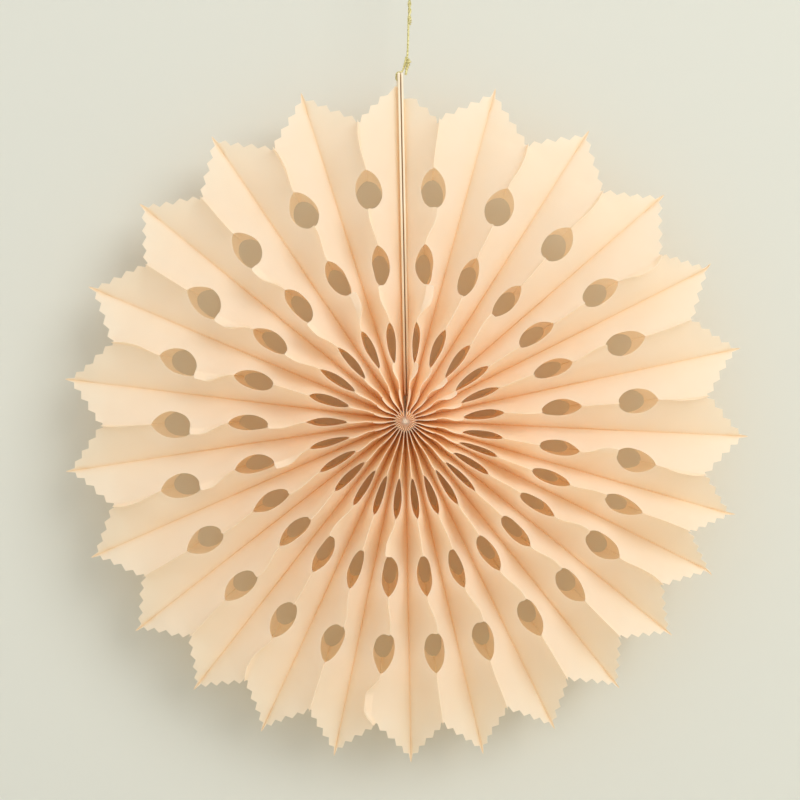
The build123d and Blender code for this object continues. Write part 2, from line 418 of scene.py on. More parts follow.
@dataclass(frozen=True)
class LeafSizes:
    """The die-cut leaf while it is flat, in millimetres.

    Attributes:
        paper: Thickness of the sheet.
        hub: Centre to the inner edge.
        glued_end: Centre to where the long edge ends and the teeth start.
        tip: Centre to the point of the spike.
        mid_glue: Half the width of the glue line along the middle.
        panel: Glue line to the fold beside the fin.
        fin: Fold to the long edge.
        hole: Radius of a round punch, whose middle lies on the fold.
        hole_spacing: Centre to the first punch, and from each punch to the next.
        hole_rows: Punches in each long edge.
        notch_place: Centre to the small relief notch.
        notch_width: Its width at the edge.
        notch_depth: Its depth.
        teeth: Pinked steps on each side of the spike.
        tooth_rise: Height of a step, towards the tip.
        tooth_run: Width of a step, across the leaf.
        tooth_slant: How far a step's corner is cut back.
        spike: Half the width of the spike where it starts.
        spike_foot: Extra half width of the spike, up to its point.
        right_loss: What the leaf at the right card has lost from its end.
        stub: What is left of a lost spike.
        torn: How far its tear reaches into the leaf.
        flare: Corners where a fin's end curls open at a punch, beyond the punch and short of the edge.
        arc_steps: Straight pieces that a punch's half circle is drawn with.
        mesh_step: Distance between the sheet's cross lines.
        panel_rows: Strips that the panel is divided in, so that it can curve.
        fin_rows: Lengthwise lines in the fin, beyond the fold.
    """

    paper: float = 0.13
    hub: float = 0.2
    glued_end: float = 193.0
    tip: float = 225.0
    mid_glue: float = 1.0
    panel: float = 30.0
    fin: float = 5.0
    hole: float = 12.7
    hole_spacing: float = 49.3
    hole_rows: int = 3
    notch_place: float = 20.5
    notch_width: float = 1.6
    notch_depth: float = 3.5
    teeth: int = 4
    tooth_rise: float = 6.4
    tooth_run: float = 6.75
    tooth_slant: float = 1.4
    spike: float = 2.0
    spike_foot: float = 0.25
    right_loss: float = 2.4
    stub: float = 0.4
    torn: float = 0.6
    flare: tuple[Point, ...] = ((1.5, 0.0), (0.5, 1.5))
    arc_steps: int = 36
    mesh_step: float = 2.6
    panel_rows: int = 12
    fin_rows: Point = (2.5, 0.6)

    @property
    def fold(self) -> float:
        """Mid line to where the panel turns into the fin."""
        return self.mid_glue + self.panel

    @property
    def edge(self) -> float:
        """Mid line to the long edge."""
        return self.fold + self.fin


@dataclass(frozen=True)
class Opening:
    """How the opened leaves share the circle, in degrees.

    Attributes:
        pleats: Number of pleats in the full circle.
        seam: Where the cards stand.
        sag: How much wider than even the widest pleat is, as a share.
        sag_angle: Where the pleats are widest.
        uneven: Width of single pleats, as a share of what the sag gives them.
        ridge_share: How far across its pleat a ridge lies, where that isn't halfway.
    """

    pleats: int = 25
    seam: float = SEAM
    sag: float = 0.16
    sag_angle: float = -20.0
    uneven: tuple[tuple[int, float], ...] = (
        (1, 1.07), (2, 1.06), (3, 0.95), (5, 1.06), (7, 0.79), (9, 1.02), (10, 1.06), (11, 1.05),
        (13, 1.04),
    )
    ridge_share: tuple[tuple[int, float], ...] = ((0, 0.46), (3, 0.55), (6, 0.55), (24, 0.53))

    def angles(self) -> tuple[list[float], list[float]]:
        """Works out the valleys and the ridges: ridge k lies between valleys k and k + 1."""
        even = 360.0 / self.pleats
        uneven = dict(self.uneven)
        shares = dict(self.ridge_share)
        widths = []
        for pleat in range(self.pleats):
            sag = 1 + self.sag * math.cos(math.radians((pleat + 0.5) * even - self.sag_angle))
            widths.append(sag * uneven.get(pleat, 1.0))
        scale = 360.0 / sum(widths)
        valleys = [self.seam]
        ridges = []
        for pleat, width in enumerate(widths):
            ridges.append(valleys[-1] + width * scale * shares.get(pleat, 0.5))
            valleys.append(valleys[-1] + width * scale)
        return valleys, ridges


@dataclass(frozen=True)
class Stretch:
    """A run of a fin between two cuts, and how far each ridge's fin leans there.

    Distances from the centre and leans are in millimetres, and a lean is clockwise.

    Attributes:
        start: Where the fin starts to lean.
        full: Where it leans most.
        fades: Where the lean starts to fade.
        end: Where the fin is upright again.
        front: How far each ridge's fin leans on the front, clockwise from the seam.
        back_lean: The most that a fin leans on the back, either way.
    """

    start: float
    full: float
    fades: float
    end: float
    front: tuple[float, ...]
    back_lean: float


CORE_FINS = Stretch(
    6.5, 15.0, 17.0, 25.0,
    (1.1, 1.3, 1.1, 1.0, 0.8, 0.7, 0.7, 0.6, 0.5, 0.5, 0.4, 0.3, 0.2,
     -0.2, -0.3, -0.3, -0.5, -0.6, -0.8, -1.0, -1.1, -1.2, -1.4, -1.3, -1.0),
    1.0,
)
HUB_FINS = Stretch(
    22.5, 33.0, 37.0, 60.0,
    (4.2, 2.4, 4.0, 4.0, 3.0, 2.5, 2.0, 1.5, 1.5, 1.0, 0.8, 0.6, 0.5,
     0.5, 0.3, -0.4, -0.8, -1.2, -1.2, -0.8, -0.6, -1.0, -1.5, -0.6, -2.6),
    1.5,
)
INNER_FINS = Stretch(
    62.0, 80.0, 84.0, 100.0,
    (9.5, 1.3, -3.0, 0.0, -0.7, 2.0, 0.0, 0.0, -0.9, -1.0, -1.0, -1.3, -0.7,
     4.5, 0.0, 3.5, -2.0, -2.6, -6.5, -3.6, 0.7, -3.5, -4.9, 7.8, -3.9),
    2.5,
)
MIDDLE_FINS = Stretch(
    111.0, 130.0, 134.0, 152.0,
    (5.4, 0.7, 0.0, 0.0, -3.4, 0.0, -6.1, -2.7, -4.7, -4.7, -4.7, -4.7, -4.1,
     -3.4, -4.1, -0.7, -4.1, -2.0, -6.8, -6.8, -9.0, -8.8, -7.4, 2.7, -2.7),
    4.0,
)
OUTER_FINS = Stretch(
    160.0, 178.0, 183.0, 197.0,
    (0.0, 2.2, 2.2, 5.0, 0.3, 1.7, 2.2, -0.6, -2.2, 0.0, 0.0, 0.0, 0.0,
     9.5, 0.0, 4.4, 0.0, 0.0, -2.8, -0.8, 2.8, 0.0, 0.0, 2.2, -1.7),
    2.5,
)
STRETCHES = (CORE_FINS, HUB_FINS, INNER_FINS, MIDDLE_FINS, OUTER_FINS)


@dataclass(frozen=True)
class Handling:
    """What opening the fan by hand does to its paper; lengths are in millimetres.

    Attributes:
        core_end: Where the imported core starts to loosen; it is loose at twice that.
        ridge_share: Share of a lean that moves the ridge itself.
        ridge_share_core: The same in the core, where the leaves hold each other.
        fin_share: Share of a lean that tilts the fin.
        fin_share_core: The same in the core.
        fin_limit: Sine of the steepest tilt.
        splay: How far the fins open at the hub, as a share of what would close the gaps there.
        splay_full: Where the hub's splay starts to fade.
        splay_end: Where it is over.
        glue_fade: The mid line's glue line starts to narrow this far beyond the long edge's end.
        glue_lost: It is gone this far short of the tip.
        ease: How much a panel curves towards its folds, as a share.
        unevenness: The most that a panel billows.
        billow_share: A narrow panel billows by no more than this share of its reach.
        billow_depth: Share of a billow that goes front to back.
        billow_pace: Billows in a metre, along the leaf and across it.
        billow_gain: Brings the noise that makes the billows to about -1 to 1.
        waver: How far a ridge wavers, as a share of its distance from the centre.
        waver_pace: Wavers in a metre.
        tip_lift: The most that a tip stands forward or back.
        bent_spikes: Valley, and how far its spike is bent clockwise and to the back.
        bend_start: A bend starts this far below the spike.
        bend_end: It would be full this far beyond the tip.
        bend_curl: Power by which it grows.
    """

    core_end: float = 18.0
    ridge_share: float = 0.4
    ridge_share_core: float = 0.1
    fin_share: float = 0.6
    fin_share_core: float = 1.1
    fin_limit: float = 0.96
    splay: float = 0.9
    splay_full: float = 4.5
    splay_end: float = 8.0
    glue_fade: float = 12.0
    glue_lost: float = 9.0
    ease: float = 0.28
    unevenness: float = 1.5
    billow_share: float = 0.16
    billow_depth: float = 0.5
    billow_pace: Point = (22.0, 30.0)
    billow_gain: float = 3.0
    waver: float = 0.012
    waver_pace: float = 28.0
    tip_lift: float = 1.2
    bent_spikes: tuple[tuple[int, float, float], ...] = (
        (4, -3.2, -2.0), (7, -1.5, -1.5), (8, 3.0, -2.0),
    )
    bend_start: float = 1.0
    bend_end: float = 4.0
    bend_curl: float = 1.5


@dataclass
class PaperLeaves:
    """The fifty die-cut leaves, folded into the wedges between the valleys and the ridges.

    Attributes:
        centre: The fan's centre, in metres.
        sizes: The flat leaf.
        opening: How the pleats share the circle.
        handling: What hands did to the paper.
        right_card: How far the right card holds its leaf off the seam, in millimetres.
        left_card: The same for the left card.
        card_start: Centre to the cards' inner end, in millimetres.
        sharpest: The most that the surface may turn and still look rounded, in degrees.
        seed: Start of the random draws.
    """

    centre: Vector
    sizes: LeafSizes = field(default_factory=LeafSizes)
    opening: Opening = field(default_factory=Opening)
    handling: Handling = field(default_factory=Handling)
    right_card: float = 2.3
    left_card: float = 0.9
    card_start: float = 16.0
    sharpest: float = 28.0
    seed: int = 7

    def half_outline(self, held: Held) -> list[Point]:
        """Outline of one half of the flat leaf, from the hub's end to the tip.

        Args:
            held: A leaf beside a card has lost its spike; the right one lost a tooth as well.

        Returns:
            Points as distance from the centre and distance from the mid line, in millimetres.
        """
        cut = self.sizes
        points = [(cut.hub, 0.0), (cut.hub, cut.edge)]
        half = cut.notch_width / 2
        points += [
            (cut.notch_place - half, cut.edge),
            (cut.notch_place, cut.edge - cut.notch_depth),
            (cut.notch_place + half, cut.edge),
        ]
        flare = [(cut.hole + beyond, cut.edge - short) for beyond, short in cut.flare]
        for row in range(1, cut.hole_rows + 1):
            middle = row * cut.hole_spacing
            points += [(middle - out, across) for out, across in flare]
            for step in range(cut.arc_steps + 1):
                angle = math.pi + math.pi * step / cut.arc_steps
                points.append(
                    (middle + cut.hole * math.cos(angle), cut.fold + cut.hole * math.sin(angle))
                )
            points += [(middle + out, across) for out, across in reversed(flare)]
        points.append((cut.glued_end, cut.edge))
        lost = cut.right_loss if held is Held.RIGHT_CARD else 0.0
        for tooth in range(cut.teeth, 0, -1):
            out = cut.tip - cut.tooth_rise * tooth - lost
            run = cut.spike + cut.tooth_run * tooth
            points.append((out - cut.tooth_rise, run))
            if tooth > 1 or held is Held.GLUED:
                points.append((out - cut.tooth_slant, run - cut.tooth_slant))
        base = cut.tip - cut.tooth_rise
        if held is Held.RIGHT_CARD:
            points.append((base - cut.tooth_rise - lost + cut.stub, 0.0))
            return points
        if held is Held.LEFT_CARD:
            points += [(base + cut.stub, cut.spike), (base - cut.torn, 0.0)]
            return points
        for share in (0.0, 0.25, 0.5, 0.75):
            points.append(
                (base + cut.tooth_rise * share, cut.spike * (1 - share) + cut.spike_foot)
            )
        points.append((cut.tip, 0.0))
        return points

    def flat_leaf(self, held: Held) -> bpy.types.Object:
        """Cuts the leaf out of a flat sheet, with a grid of edges fine enough to fold."""
        cut = self.sizes
        half = self.half_outline(held)
        outline = half + [(along, -across) for along, across in reversed(half[1:-1])]
        sheet = bmesh.new()
        sheet.faces.new([sheet.verts.new((x * MM, y * MM, 0.0)) for x, y in outline])
        columns = int((cut.tip - cut.hub) / cut.mesh_step)
        cuts = [(cut.hub + cut.mesh_step * (c + 0.5), 0) for c in range(columns)]
        near_hub = int((cut.hole_spacing - cut.hole) / cut.mesh_step)
        cuts += [(cut.hub + cut.mesh_step * (c + 1), 0) for c in range(near_hub)]
        rows = cut.panel_rows
        across = [cut.mid_glue + cut.panel * row / rows for row in range(rows + 1)]
        across += [cut.fold + beyond for beyond in cut.fin_rows]
        cuts += [(y * side, 1) for y in across for side in (-1, 1)] + [(0.0, 1)]
        for place, axis in cuts:
            line = [0.0, 0.0, 0.0]
            line[axis] = 1.0
            where = [value * place * MM for value in line]
            bmesh.ops.bisect_plane(
                sheet, geom=sheet.verts[:] + sheet.edges[:] + sheet.faces[:], dist=1e-7,
                plane_co=where, plane_no=line,
            )
        bmesh.ops.triangulate(sheet, faces=[face for face in sheet.faces if len(face.verts) > 4])
        mesh = bpy.data.meshes.new("flat_leaf")
        sheet.to_mesh(mesh)
        sheet.free()
        return bpy.data.objects.new("flat_leaf_" + held.name.lower(), mesh)

    def fold_tree(self) -> bpy.types.NodeTree:
        """Builds the tree that folds a flat leaf into the wedge between a valley and a ridge.

        Returns:
            A tree whose inputs are the wedge's angles, the card beside it, the leans of its fins,
            the bend of its spike, its unevenness and its material.
        """
        cut, hand = self.sizes, self.handling
        numbers = ["Valley", "Ridge", "Half pleat", "Card side", "Card in pleat", "Hub splay",
                   "Spike side", "Spike lift", "Tip lift", "Unevenness", "Leaf seed", "Ridge seed"]
        for index in range(len(STRETCHES)):
            numbers += [f"Front lean {index + 1}", f"Back lean {index + 1}"]
        inputs: dict[str, type] = {name: float for name in numbers}
        inputs["Paper"] = bpy.types.Material
        tree, given = modifier_tree("Fold_Leaf", inputs)
        position = add_node(tree, "GeometryNodeInputPosition")
        flat = add_node(tree, "ShaderNodeSeparateXYZ", {0: position.outputs[0]})
        along = Field(tree, flat.outputs[0])
        across = Field(tree, flat.outputs[1])
        side = across.math("SIGN")
        from_mid = across.math("ABSOLUTE")
        turn = (given["Ridge"] - given["Valley"]).math("SIGN")
        out = along.math("MINIMUM", cut.glued_end * MM)
        spread = (given["Ridge"] - given["Valley"]).math("ABSOLUTE").math("TANGENT")
        reach = out * spread
        leaves_hub = (along - cut.hub * MM) / ((self.card_start - cut.hub) * MM)
        beside_card = leaves_hub.math("MAXIMUM", 0.0).math("MINIMUM", 1.0)
        mid = given["Card side"] * beside_card
        half_run = out * given["Half pleat"].math("TANGENT")
        run = half_run - given["Card in pleat"] * beside_card * 0.5 - cut.paper * MM
        width = cut.panel * MM
        depth = (run.math("POWER", 2.0) * -1.0 + width**2).math("SQRT")
        fade_start = (cut.glued_end + hand.glue_fade) * MM
        fade_end = (cut.tip - hand.glue_lost) * MM
        mid_glue = along.ramp(fade_start, fade_end, cut.mid_glue * MM, 0.0)

        front = side.ramp(-0.1, 0.1, 1.0, 0.0)
        lean = self.ridge_wobble(tree, along, given["Ridge seed"] + side * 3.0)
        for index, stretch in enumerate(STRETCHES):
            grows = along.ramp(stretch.start * MM, stretch.full * MM)
            fades = along.ramp(stretch.fades * MM, stretch.end * MM, 1.0, 0.0)
            front_lean = given[f"Front lean {index + 1}"]
            back_lean = given[f"Back lean {index + 1}"]
            amount = back_lean + (front_lean - back_lean) * front
            lean = lean + amount * grows * fades
        local_lean = lean * turn
        core = along.ramp(hand.core_end * MM, 2 * hand.core_end * MM, 1.0, 0.0)
        ridge_share = core * (hand.ridge_share_core - hand.ridge_share) + hand.ridge_share
        shift = local_lean * ridge_share
        fin_share = core * (hand.fin_share_core - hand.fin_share) + hand.fin_share
        splayed = along.ramp(hand.splay_full * MM, hand.splay_end * MM, 1.0, 0.0)
        splay = splayed * given["Hub splay"] * reach / (cut.fin * MM)
        fin_slope = local_lean * fin_share / (cut.fin * MM) - splay
        fin_slope = fin_slope.math("MAXIMUM", -hand.fin_limit).math("MINIMUM", hand.fin_limit)
        fin_rise = (fin_slope.math("POWER", 2.0) * -1.0 + 1.0).math("SQRT")

        share = (from_mid - mid_glue) / (mid_glue * -1.0 + cut.fold * MM)
        share = share.math("MAXIMUM", 0.0).math("MINIMUM", 1.0)
        height = (from_mid - cut.fold * MM).math("MAXIMUM", 0.0)
        eased = share * (1 - hand.ease) + share.ramp(0.0, 1.0) * hand.ease
        at_valley = mid + cut.paper * 0.5 * MM
        at_ridge = reach + shift - cut.paper * 0.5 * MM
        place_across = at_valley + (at_ridge - at_valley) * eased + fin_slope * height
        in_glue = from_mid.math("MINIMUM", mid_glue)
        at_fold = depth + cut.mid_glue * MM - mid_glue
        place_deep = in_glue + at_fold * share + fin_rise * height

        billow = self.billow(tree, along, across, given["Leaf seed"])
        belly = (share * (share * -1.0 + 1.0) * 4.0).math("MAXIMUM", 0.0)
        allowed = (reach * hand.billow_share).math("MINIMUM", given["Unevenness"])
        swell = billow * belly * allowed
        place_across = place_across + swell
        tips = along.ramp(cut.glued_end * MM, cut.tip * MM)
        free = tips * given["Tip lift"]
        bend_start = (cut.tip - cut.tooth_rise - hand.bend_start) * MM
        spike = along.ramp(bend_start, (cut.tip + hand.bend_end) * MM)
        bent = spike.math("POWER", hand.bend_curl) * given["Spike side"] * turn
        place_across = place_across + bent
        deep = side * (place_deep - swell * hand.billow_depth)
        signed_depth = deep + free + spike * given["Spike lift"]

        sine, cosine = given["Valley"].math("SINE"), given["Valley"].math("COSINE")
        x = sine * along + cosine * turn * place_across + self.centre.x
        z = cosine * along - sine * turn * place_across + self.centre.z
        place = add_node(tree, "ShaderNodeCombineXYZ", {0: x, 1: signed_depth, 2: z})
        # The mid line's mask for the paper's valley tint: glue soak plus painted crease shade
        glue_and_crease_shade = from_mid.ramp(0.6 * cut.mid_glue * MM, 1.7 * cut.mid_glue * MM, 1.0, 0.0)
        marked = add_node(
            tree,
            "GeometryNodeStoreNamedAttribute",
            {"Geometry": given["Geometry"], "Name": "glue", "Value": glue_and_crease_shade},
            data_type="FLOAT",
        )
        moved = add_node(
            tree, "GeometryNodeSetPosition", {"Geometry": marked.outputs[0], "Position": place.outputs[0]}
        )
        end_tree(tree, moved.outputs[0], given["Paper"])
        return tree

    def ridge_wobble(self, tree: bpy.types.NodeTree, along: Field, seed: Field) -> Field:
        """Small waver of a ridge along its length, the same for both of its leaves, in metres."""
        pace = self.handling.waver_pace
        place = add_node(tree, "ShaderNodeCombineXYZ", {0: along * pace, 1: seed})
        noise = add_node(
            tree, "ShaderNodeTexNoise", {"Vector": place.outputs[0], "Detail": 1.0, "Scale": 1.0}
        )
        return (Field(tree, noise.outputs[0]) - 0.5) * along * self.handling.waver

    def billow(
        self, tree: bpy.types.NodeTree, along: Field, across: Field, seed: Field
    ) -> Field:
        """Slow hollows and swells of a panel, about -1 to 1."""
        pace = self.handling.billow_pace
        place = add_node(
            tree, "ShaderNodeCombineXYZ", {0: along * pace[0], 1: across * pace[1], 2: seed}
        )
        noise = add_node(
            tree, "ShaderNodeTexNoise", {"Vector": place.outputs[0], "Detail": 2.0, "Scale": 1.0}
        )
        return (Field(tree, noise.outputs[0]) - 0.5) * self.handling.billow_gain

    def build(self, paper: bpy.types.Material) -> list[bpy.types.Object]:
        """Folds all the leaves, two to each ridge, numbered clockwise from the seam.

        Args:
            paper: The leaves' material.

        Returns:
            The finished pieces.
        """
        valleys, ridges = self.opening.angles()
        tree = self.fold_tree()
        hand = self.handling
        flats = {held: self.flat_leaf(held) for held in Held}
        draws = random.Random(self.seed)
        last = len(ridges) - 1
        tips = [draws.uniform(-hand.tip_lift, hand.tip_lift) for _ in valleys]
        bends = {number: (side, lift) for number, side, lift in hand.bent_spikes}
        cards_in_pleats = {0: self.right_card, last: self.left_card}
        held_at = {0: Held.RIGHT_CARD, last + 1: Held.LEFT_CARD}
        card_sides = {Held.RIGHT_CARD: self.right_card, Held.LEFT_CARD: self.left_card}
        pieces = []
        for pleat, ridge in enumerate(ridges):
            back = [draws.uniform(-1.0, 1.0) * stretch.back_lean for stretch in STRETCHES]
            for second in (0, 1):
                valley = valleys[pleat + second]
                held = held_at.get(pleat + second, Held.GLUED)
                spike_side, spike_lift = bends.get(pleat + second, (0.0, 0.0))
                values: dict[str, Any] = {
                    "Valley": math.radians(valley),
                    "Ridge": math.radians(ridge),
                    "Half pleat": math.radians(valleys[pleat + 1] - valleys[pleat]) / 2,
                    "Card side": card_sides.get(held, 0.0) * MM,
                    "Card in pleat": cards_in_pleats.get(pleat, 0.0) * MM,
                    "Hub splay": hand.splay if held is Held.GLUED else 0.0,
                    "Spike side": spike_side * MM,
                    "Spike lift": spike_lift * MM,
                    "Tip lift": tips[pleat + second] * MM,
                    "Unevenness": hand.unevenness * MM,
                    "Leaf seed": 10.0 * pleat + 5.0 * second,
                    "Ridge seed": 10.0 * pleat,
                    "Paper": paper,
                }
                for index, stretch in enumerate(STRETCHES):
                    values[f"Front lean {index + 1}"] = stretch.front[pleat] * MM
                    values[f"Back lean {index + 1}"] = back[index] * MM
                number = 2 * pleat + 1 + second
                piece = run_tree(
                    flats[held], tree, values, f"paper_leaf_{number:02d}", self.sizes.paper * MM
                )
                piece.data.shade_smooth()
                piece.data.set_sharp_from_angle(angle=math.radians(self.sharpest))
                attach(piece, BODY)
                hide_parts(f"leaf_{number:02d}")
                pieces.append(piece)
        return pieces


# --- card spines -------------------------------------------------------------------------------


@dataclass(frozen=True)
class CardPose:
    """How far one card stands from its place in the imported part.

    Attributes:
        shift: Sideways, in millimetres, positive to the right.
        turn: About its own long axis, in degrees, positive when its back edge goes left.
    """

    shift: float
    turn: float


@dataclass
class CardSpines:
    """The two stiff cards in the seam: cut strips that have sprung a little way apart."""

    centre: Vector
    seam: float = SEAM
    poses: dict[str, CardPose] = field(
        default_factory=lambda: {
            "card_spine_left": CardPose(0.6, 5.5),
            "card_spine_right": CardPose(0.7, 9.5),
        }
    )

    def merge(self, mesh: bpy.types.Mesh) -> None:
        """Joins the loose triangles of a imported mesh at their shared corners."""
        shell = bmesh.new()
        shell.from_mesh(mesh)
        bmesh.ops.remove_doubles(shell, verts=shell.verts[:], dist=1e-6)
        shell.to_mesh(mesh)
        shell.free()

    def build(self, frame: dict[str, Any], card: bpy.types.Material) -> list[bpy.types.Object]:
        """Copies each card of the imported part, sets the copy in its pose and finishes it.

        Args:
            card: The cards' material.

        Returns:
            The finished pieces.
        """
        turn = math.radians(self.seam)
        long_axis = Vector((math.sin(turn), 0.0, math.cos(turn)))
        pieces = []
        for name, pose in self.poses.items():
            node = frame["nodes"][name]
            mesh = node.data.copy()
            self.merge(mesh)
            mesh.transform(node.matrix_world)
            mesh.transform(Matrix.Translation(-self.centre))
            mesh.transform(Matrix.Rotation(math.radians(pose.turn), 4, long_axis))
            mesh.transform(Matrix.Translation(self.centre + Vector((pose.shift, 0.0, 0.0)) * MM))
            mesh.materials.clear()
            mesh.materials.append(card)
            piece = bpy.data.objects.new("stiff_" + name, mesh)
            bpy.context.scene.collection.objects.link(piece)
            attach(piece, BODY)
            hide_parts(name)
            pieces.append(piece)
        return pieces


# --- gold thread -------------------------------------------------------------------------------


@dataclass(frozen=True)
class Yarn:
    """A twisted thread: how thick it is over all, its plies and the length of one full turn."""

    diameter: float
    plies: int = 3
    lay: float = 3.2


@dataclass
class HangingThread:
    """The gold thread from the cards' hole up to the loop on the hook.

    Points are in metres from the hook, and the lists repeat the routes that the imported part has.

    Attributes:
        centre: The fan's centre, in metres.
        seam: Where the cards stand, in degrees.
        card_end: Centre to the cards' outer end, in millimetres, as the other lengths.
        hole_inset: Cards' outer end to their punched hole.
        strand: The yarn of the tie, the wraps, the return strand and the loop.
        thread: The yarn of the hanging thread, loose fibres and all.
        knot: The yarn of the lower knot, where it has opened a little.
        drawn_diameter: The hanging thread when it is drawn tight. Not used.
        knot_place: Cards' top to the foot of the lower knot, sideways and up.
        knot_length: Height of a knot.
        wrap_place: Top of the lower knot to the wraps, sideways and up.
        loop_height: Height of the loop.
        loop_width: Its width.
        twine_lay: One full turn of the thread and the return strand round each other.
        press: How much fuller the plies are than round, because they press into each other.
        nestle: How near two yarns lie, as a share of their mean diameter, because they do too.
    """

    centre: Vector
    seam: float = SEAM
    card_end: float = 227.0
    hole_inset: float = 3.8
    strand: Yarn = Yarn(1.1, lay=2.6)
    thread: Yarn = Yarn(1.45)
    knot: Yarn = Yarn(1.7, lay=3.0)
    drawn_diameter: float = 1.3
    knot_place: Point = (5.9, 6.2)
    knot_length: float = 5.0
    wrap_place: Point = (0.7, 21.5)
    loop_height: float = 26.0
    loop_width: float = 13.0
    twine_lay: float = 9.0
    press: float = 1.06
    nestle: float = 0.55

    def __post_init__(self) -> None:
        """Works out the places that the routes share."""
        turn = math.radians(self.seam)
        out = Vector((math.sin(turn), 0.0, math.cos(turn)))
        self.hole = self.centre + out * (self.card_end - self.hole_inset) * MM
        self.card_top = self.centre + out * self.card_end * MM
        self.knot_base = self.card_top + Vector((self.knot_place[0], 0.0, self.knot_place[1])) * MM
        self.knot_top = self.knot_base + Vector((0.0, 0.0, self.knot_length)) * MM
        self.loop_foot = Vector((0.0, 0.0, -self.loop_height)) * MM
        self.top_knot_base = self.loop_foot - Vector((0.0, 0.0, self.knot_length)) * MM
        self.wrap_base = self.knot_top + Vector((self.wrap_place[0], 0.0, self.wrap_place[1])) * MM
        self.beside = self.nestle * (self.thread.diameter + self.strand.diameter) / 2
        self.apart = self.nestle * self.strand.diameter

    def twist_tree(self) -> bpy.types.NodeTree:
        """Builds the tree that winds plies round a line.

        Returns:
            A tree whose inputs are the number of plies, the radius of each, how far they stand
            from the line, the length of a full turn and the material.
        """
        tree, given = modifier_tree(
            "Twist_Yarn",
            {"Plies": int, "Ply radius": float, "Offset": float, "Lay": float, "Step": float,
             "Yarn": bpy.types.Material},
        )
        line = add_node(tree, "GeometryNodeMeshToCurve", {"Mesh": given["Geometry"]})
        even = add_node(
            tree,
            "GeometryNodeResampleCurve",
            {"Curve": line.outputs[0], "Length": given["Step"]},
            mode="LENGTH",
        )
        copies = add_node(
            tree,
            "GeometryNodeDuplicateElements",
            {"Geometry": even.outputs[0], "Amount": given["Plies"]},
            domain="SPLINE",
        )
        passed = Field(tree, add_node(tree, "GeometryNodeSplineParameter").outputs["Length"])
        ply = Field(tree, copies.outputs["Duplicate Index"])
        angle = (passed / given["Lay"] + ply / given["Plies"]) * math.tau
        tangent = add_node(tree, "GeometryNodeInputTangent")
        normal = add_node(tree, "GeometryNodeInputNormal")
        second = add_node(
            tree, "ShaderNodeVectorMath", {0: tangent.outputs[0], 1: normal.outputs[0]},
            operation="CROSS_PRODUCT",
        )
        first_part = add_node(
            tree, "ShaderNodeVectorMath",
            {0: normal.outputs[0], "Scale": angle.math("COSINE") * given["Offset"]},
            operation="SCALE",
        )
        second_part = add_node(
            tree, "ShaderNodeVectorMath",
            {0: second.outputs[0], "Scale": angle.math("SINE") * given["Offset"]},
            operation="SCALE",
        )
        offset = add_node(
            tree, "ShaderNodeVectorMath", {0: first_part.outputs[0], 1: second_part.outputs[0]},
            operation="ADD",
        )
        wound = add_node(
            tree, "GeometryNodeSetPosition",
            {"Geometry": copies.outputs[0], "Offset": offset.outputs[0]},
        )
        ring = add_node(
            tree, "GeometryNodeCurvePrimitiveCircle", {"Resolution": 8, "Radius": given["Ply radius"]}
        )
        tube = add_node(
            tree, "GeometryNodeCurveToMesh",
            {"Curve": wound.outputs[0], "Profile Curve": ring.outputs[0], "Fill Caps": True},
        )
        end_tree(tree, tube.outputs[0], given["Yarn"])
        return tree

    def line_of(self, name: str, route: list[Vector]) -> bpy.types.Object:
        """Reads a smooth line off the NURBS spline whose control points are a route.

        Args:
            name: Name of the line.
            route: The control points.

        Returns:
            A mesh object of points and edges along the spline.
        """
        curve = bpy.data.curves.new(name + "_route", "CURVE")
        curve.dimensions = "3D"
        spline = curve.splines.new("NURBS")
        spline.points.add(len(route) - 1)
        for point, place in zip(spline.points, route):
            point.co = (*place, 1.0)
        spline.order_u = 3
        spline.use_endpoint_u = True
        spline.resolution_u = 12
        holder = bpy.data.objects.new(name + "_route", curve)
        bpy.context.scene.collection.objects.link(holder)
        graph = bpy.context.evaluated_depsgraph_get()
        mesh = bpy.data.meshes.new_from_object(holder.evaluated_get(graph))
        bpy.data.objects.remove(holder)
        return bpy.data.objects.new(name + "_line", mesh)

    def wind(
        self, name: str, line: bpy.types.Object, yarn: Yarn, tree: bpy.types.NodeTree,
        gold: bpy.types.Material, node: str,
    ) -> bpy.types.Object:
        """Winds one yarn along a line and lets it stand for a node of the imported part.

        Args:
            name: Name of the piece.
            line: The line that it follows.
            yarn: The yarn.
            tree: The tree that winds plies.
            gold: The material.
            node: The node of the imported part.

        Returns:
            The finished piece.
        """
        inner = math.sin(math.pi / yarn.plies)
        ply = yarn.diameter / 2 * inner / (1 + inner) * self.press
        values = {
            "Plies": yarn.plies,
            "Ply radius": ply * MM,
            "Offset": (yarn.diameter / 2 - ply) * MM,
            "Lay": yarn.lay * MM,
            "Step": yarn.lay / TURN_POINTS * MM,
            "Yarn": gold,
        }
        piece = run_tree(line, tree, values, name)
        piece.data.shade_smooth()
        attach(piece, BODY)
        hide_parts(node)
        return piece

    def coil(
        self, base: Vector, axis: Vector, low: float, high: float, turns: float
    ) -> list[Vector]:
        """Control points of a coil that climbs round an axis.

        Args:
            base: Where the axis starts, in metres.
            axis: The axis and its length, in millimetres.
            low: Radius at the start, in millimetres.
            high: Radius near the end, in millimetres; the last turn closes in.
            turns: Number of turns.

        Returns:
            The points, in metres.
        """
        steps = int(turns * TURN_POINTS)
        side = Vector((1.0, 0.0, -axis.x / axis.z)).normalized()
        other = axis.cross(side).normalized()
        points = []
        for step in range(steps + 1):
            share = step / steps
            angle = math.tau * turns * share + 0.6
            wide = (low + (high - low) * share) * min(1.0, 0.4 + (1 - share) * 4)
            place = axis * share + side * wide * math.cos(angle) + other * wide * math.sin(angle)
            points.append(base + place * MM)
        return points

